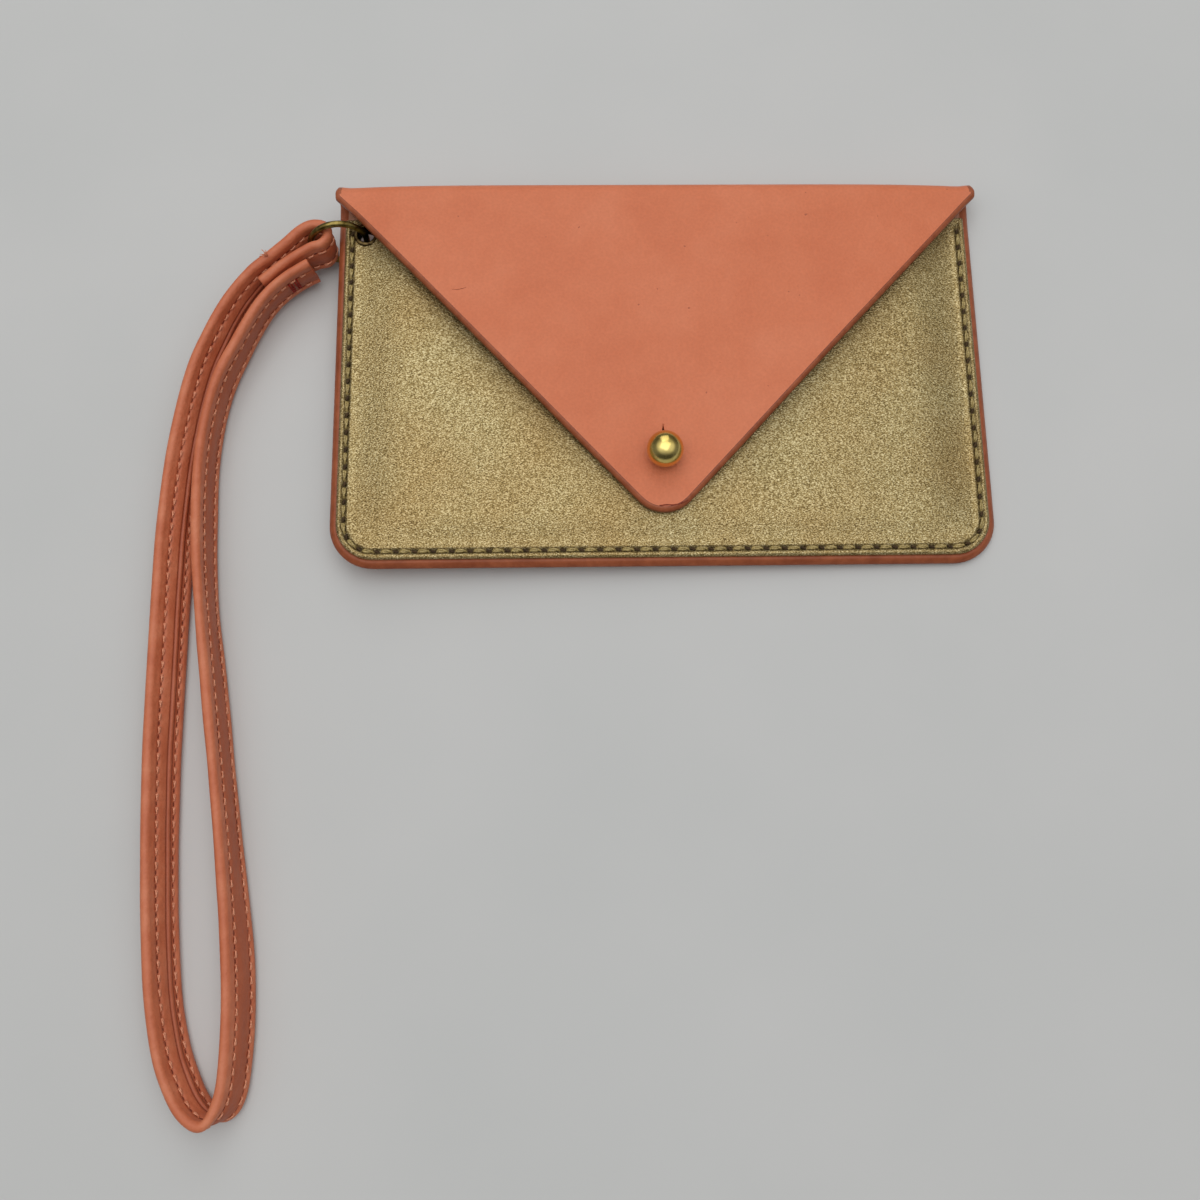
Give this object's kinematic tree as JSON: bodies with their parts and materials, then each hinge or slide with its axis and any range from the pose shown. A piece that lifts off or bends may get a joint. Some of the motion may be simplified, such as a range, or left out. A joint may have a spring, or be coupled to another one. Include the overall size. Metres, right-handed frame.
{
  "type": "wristlet wallet",
  "caption": "Flat envelope wallet with a pointed flap that buttons on a ball stud, and a wrist strap looped through a ring at its corner.",
  "frame": {"origin": "middle of the back panel's outer face, half way from the bottom edge to the outside of the fold", "axes": "+X to the wallet's right, +Y towards the fold, +Z from the back to the flap"},
  "size_m": [0.1513, 0.167, 0.0176],
  "materials": {
    "coral_leather": "fine-grained coated leather, soft sheen",
    "gold_leather": "metallic foil on pebbled leather",
    "lining_cloth": "plain woven lining",
    "gold_thread": "twisted thread",
    "polished_brass": "polished",
    "antique_brass": "dark antique plating",
    "strap_leather": "fine-grained coated leather with turned edges",
    "red_thread": "twisted thread"
  },
  "bodies": {
    "wallet": {"back_panel": "coral_leather", "back_lining": "lining_cloth", "front_panel": "gold_leather", "front_lining": "lining_cloth", "edge_stitching": "gold_thread", "ball_stud": "polished_brass", "stud_screw": "polished_brass", "eyelet": "antique_brass", "eyelet_washer": "antique_brass"},
    "fold": {"fold_strip": "coral_leather"},
    "flap": {"flap": "coral_leather", "keyhole_lips": "coral_leather"},
    "ring": {"strap_ring": "antique_brass"},
    "strap": {"wrist_strap": "strap_leather", "bar_tack": "red_thread"}
  },
  "joints": [
    {"name": "flap_open", "type": "hinge", "parent": "wallet", "child": "fold", "pos_m": [0, 0.03543, 0.0013], "axis": [-1, 0, 0], "range_deg": [0, 85], "deforming": ["keyhole_lips"]},
    {"name": "flap_unfold", "type": "hinge", "parent": "fold", "child": "flap", "pos_m": [0, 0.03543, 0.0046], "axis": [-1, 0, 0], "range_deg": [0, 85]},
    {"name": "ring_turn", "type": "hinge", "parent": "wallet", "child": "ring", "pos_m": [-0.0547, 0.0274, 0.0014], "axis": [0, 0, 1], "range_deg": [-8, 8]},
    {"name": "strap_swing", "type": "hinge", "parent": "ring", "child": "strap", "pos_m": [-0.0652, 0.02593, 0.0014], "axis": [-0.0365, 0, 0.9993], "range_deg": [-25, 15]}
  ],
  "couplings": [
    {"joint": "flap_unfold", "follows": "flap_open", "ratio": 1}
  ]
}
